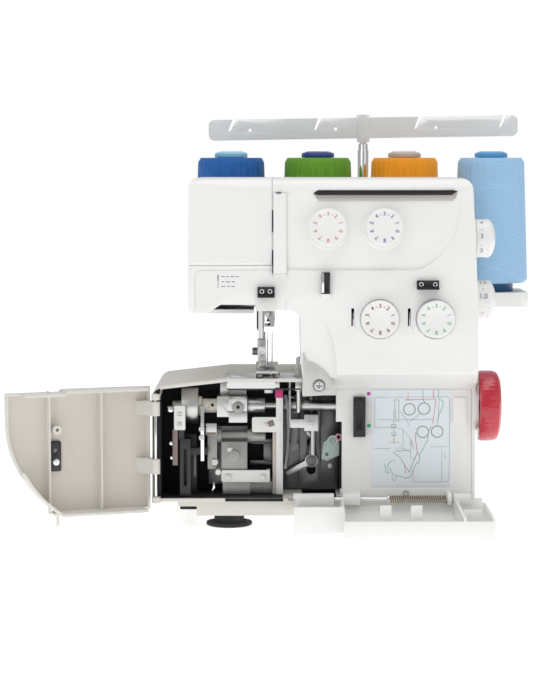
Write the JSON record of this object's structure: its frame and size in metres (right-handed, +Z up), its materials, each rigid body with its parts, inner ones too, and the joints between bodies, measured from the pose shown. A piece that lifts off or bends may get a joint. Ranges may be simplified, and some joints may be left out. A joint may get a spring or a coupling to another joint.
{
  "type": "serger overlock machine",
  "caption": "Household overlock machine with open side and looper covers, thread cones behind the head and a clear guide bar on a telescopic post.",
  "frame": {"origin": "centre of the whole outline's rectangle on the table, under the rubber feet, with both covers open", "axes": "+X to the right seen from the front, -Y is the front where the dials are, +Z up"},
  "size_m": [0.4966, 0.3596, 0.386],
  "materials": {
    "white_plastic": "satin",
    "beige_plastic": "satin",
    "dial_plastic": "satin",
    "clear_plastic": "gloss",
    "green_plastic": "gloss",
    "red_plastic": "gloss",
    "black_plastic": "matte",
    "black_rubber": "matte",
    "bright_steel": "brushed",
    "chrome_steel": "polished",
    "dark_steel": "satin",
    "cast_aluminium": "cast",
    "spring_steel": "oxidised",
    "chart_film": "printed",
    "core_light_blue": "satin",
    "core_navy": "satin",
    "core_grey": "satin",
    "core_blue": "satin",
    "thread_blue": "wound",
    "thread_green": "wound",
    "thread_orange": "wound",
    "thread_sky": "wound"
  },
  "bodies": {
    "machine": {"front_housing": "white_plastic", "rear_housing": "white_plastic", "face_cover": "white_plastic", "looper_panel": "white_plastic", "base_tray": "beige_plastic", "rubber_feet": "black_rubber", "machine_frame": "cast_aluminium", "shaft_bearings": "bright_steel", "bed_shell": "beige_plastic", "side_cover_pin": "chrome_steel", "needle_plate": "chrome_steel", "column_plate": "bright_steel", "looper_back_plate": "dark_steel", "looper_castings": "cast_aluminium", "lever_blocks": "white_plastic", "threading_post": "white_plastic", "threading_chart": "chart_film", "thread_guides": "dark_steel", "clear_thread_guide": "green_plastic", "tension_posts": "bright_steel", "lower_knife": "bright_steel", "screws": "bright_steel", "drive_motor": "dark_steel", "drive_belt": "black_rubber", "spool_stand": "white_plastic", "spool_pins": "beige_plastic", "post_tube": "chrome_steel", "power_inlet": "black_plastic"},
    "spindle": {"main_shaft": "bright_steel", "handwheel": "red_plastic"},
    "motor_rotor": {"motor_pulley": "dark_steel"},
    "needle_drive": {"needle_bar": "chrome_steel"},
    "presser": {"presser_bar": "bright_steel", "presser_foot": "bright_steel"},
    "lifter": {"lifter_lever": "black_plastic"},
    "dial_1": {"dial_needle_left": "dial_plastic"},
    "dial_2": {"dial_needle_right": "dial_plastic"},
    "dial_3": {"dial_looper_upper": "dial_plastic"},
    "dial_4": {"dial_looper_lower": "dial_plastic"},
    "stitch_dial": {"stitch_length_dial": "dial_plastic"},
    "diff_dial": {"differential_dial": "dial_plastic"},
    "upper_looper_arm": {"upper_looper": "bright_steel"},
    "lower_looper_arm": {"lower_looper": "dark_steel"},
    "knife": {"upper_knife": "bright_steel"},
    "feed": {"feed_dogs": "bright_steel"},
    "side_door": {"side_cover": "beige_plastic", "cover_latch": "black_plastic"},
    "rod": {"cover_rod": "chrome_steel", "cover_spring": "spring_steel"},
    "looper_door": {"looper_cover": "white_plastic"},
    "post_mid": {"post_middle": "chrome_steel"},
    "guide": {"guide_bar": "clear_plastic"},
    "cone_1": {"cone_core_1": "core_light_blue", "thread_1": "thread_blue"},
    "cone_2": {"cone_core_2": "core_navy", "thread_2": "thread_green"},
    "cone_3": {"cone_core_3": "core_grey", "thread_3": "thread_orange"},
    "cone_4": {"cone_core_4": "core_blue", "thread_4": "thread_sky"}
  },
  "joints": [
    {"name": "spindle_turn", "type": "hinge", "parent": "machine", "child": "spindle", "pos_m": [0.1, -0.03415, 0.1113], "axis": [1, 0, 0], "continuous": true},
    {"name": "motor_turn", "type": "hinge", "parent": "machine", "child": "motor_rotor", "pos_m": [0.17, 0.03385, 0.064], "axis": [1, 0, 0], "continuous": true},
    {"name": "needle_bar_slide", "type": "slide", "parent": "machine", "child": "needle_drive", "axis": [0, 0, 1], "range_m": [-0.024, 0.002]},
    {"name": "presser_slide", "type": "slide", "parent": "machine", "child": "presser", "axis": [0, 0, 1], "range_m": [0, 0.0055]},
    {"name": "lifter_turn", "type": "hinge", "parent": "machine", "child": "lifter", "pos_m": [-0.018, 0.04385, 0.212], "axis": [1, 0, 0], "range_deg": [0, 30]},
    {"name": "needle_left_tension", "type": "hinge", "parent": "machine", "child": "dial_1", "pos_m": [0.0441, -0.06775, 0.2776], "axis": [0, -0.9877, 0.1564], "range_deg": [-108, 216]},
    {"name": "needle_right_tension", "type": "hinge", "parent": "machine", "child": "dial_2", "pos_m": [0.0953, -0.06775, 0.2776], "axis": [0, -0.9877, 0.1564], "range_deg": [-108, 216]},
    {"name": "looper_upper_tension", "type": "hinge", "parent": "machine", "child": "dial_3", "pos_m": [0.0914, -0.07385, 0.1952], "axis": [0, -0.9981, 0.061], "range_deg": [-108, 216]},
    {"name": "looper_lower_tension", "type": "hinge", "parent": "machine", "child": "dial_4", "pos_m": [0.1423, -0.07385, 0.1952], "axis": [0, -0.9981, 0.061], "range_deg": [-108, 216]},
    {"name": "stitch_length_turn", "type": "hinge", "parent": "machine", "child": "stitch_dial", "pos_m": [0.19, -0.03415, 0.2674], "axis": [1, 0, 0], "range_deg": [-72, 96]},
    {"name": "differential_turn", "type": "hinge", "parent": "machine", "child": "diff_dial", "pos_m": [0.19, -0.03415, 0.2108], "axis": [1, 0, 0], "range_deg": [-48, 96]},
    {"name": "upper_looper_swing", "type": "hinge", "parent": "machine", "child": "upper_looper_arm", "pos_m": [0.03, -0.02015, 0.058], "axis": [0, 1, 0], "range_deg": [-6, 6]},
    {"name": "lower_looper_swing", "type": "hinge", "parent": "machine", "child": "lower_looper_arm", "pos_m": [0.013, -0.02415, 0.072], "axis": [0, 1, 0], "range_deg": [-5, 5]},
    {"name": "upper_knife_slide", "type": "slide", "parent": "machine", "child": "knife", "axis": [0, 0, 1], "range_m": [-0.004, 0.004]},
    {"name": "feed_slide", "type": "slide", "parent": "machine", "child": "feed", "axis": [0, 1, 0], "range_m": [-0.002, 0.002]},
    {"name": "side_cover_turn", "type": "hinge", "parent": "machine", "child": "side_door", "pos_m": [-0.1135, -0.07265, 0.075], "axis": [0, 0, 1], "range_deg": [0, 160]},
    {"name": "cover_rod_slide", "type": "slide", "parent": "machine", "child": "rod", "axis": [1, 0, 0], "range_m": [0, 0.0065], "stiffness_N_per_m": 300, "springref_m": -0.012, "deforming": ["cover_spring"]},
    {"name": "looper_cover_turn", "type": "hinge", "parent": "rod", "child": "looper_door", "pos_m": [0.1, -0.06915, 0.0288], "axis": [-1, 0, 0], "range_deg": [0, 90]},
    {"name": "post_middle_slide", "type": "slide", "parent": "machine", "child": "post_mid", "axis": [0, 0, 1], "range_m": [0, 0.12]},
    {"name": "guide_bar_slide", "type": "slide", "parent": "post_mid", "child": "guide", "axis": [0, 0, 1], "range_m": [0, 0.12]},
    {"name": "cone_1_lift", "type": "slide", "parent": "machine", "child": "cone_1", "axis": [0, 0, 1], "range_m": [0, 0.1]},
    {"name": "cone_2_lift", "type": "slide", "parent": "machine", "child": "cone_2", "axis": [0, 0, 1], "range_m": [0, 0.1]},
    {"name": "cone_3_lift", "type": "slide", "parent": "machine", "child": "cone_3", "axis": [0, 0, 1], "range_m": [0, 0.1]},
    {"name": "cone_4_lift", "type": "slide", "parent": "machine", "child": "cone_4", "axis": [0, 0, 1], "range_m": [0, 0.1]}
  ],
  "couplings": [
    {"joint": "motor_turn", "follows": "spindle_turn", "ratio": 2.5},
    {"joint": "lifter_turn", "follows": "presser_slide", "rad_per_m": 95.168}
  ]
}
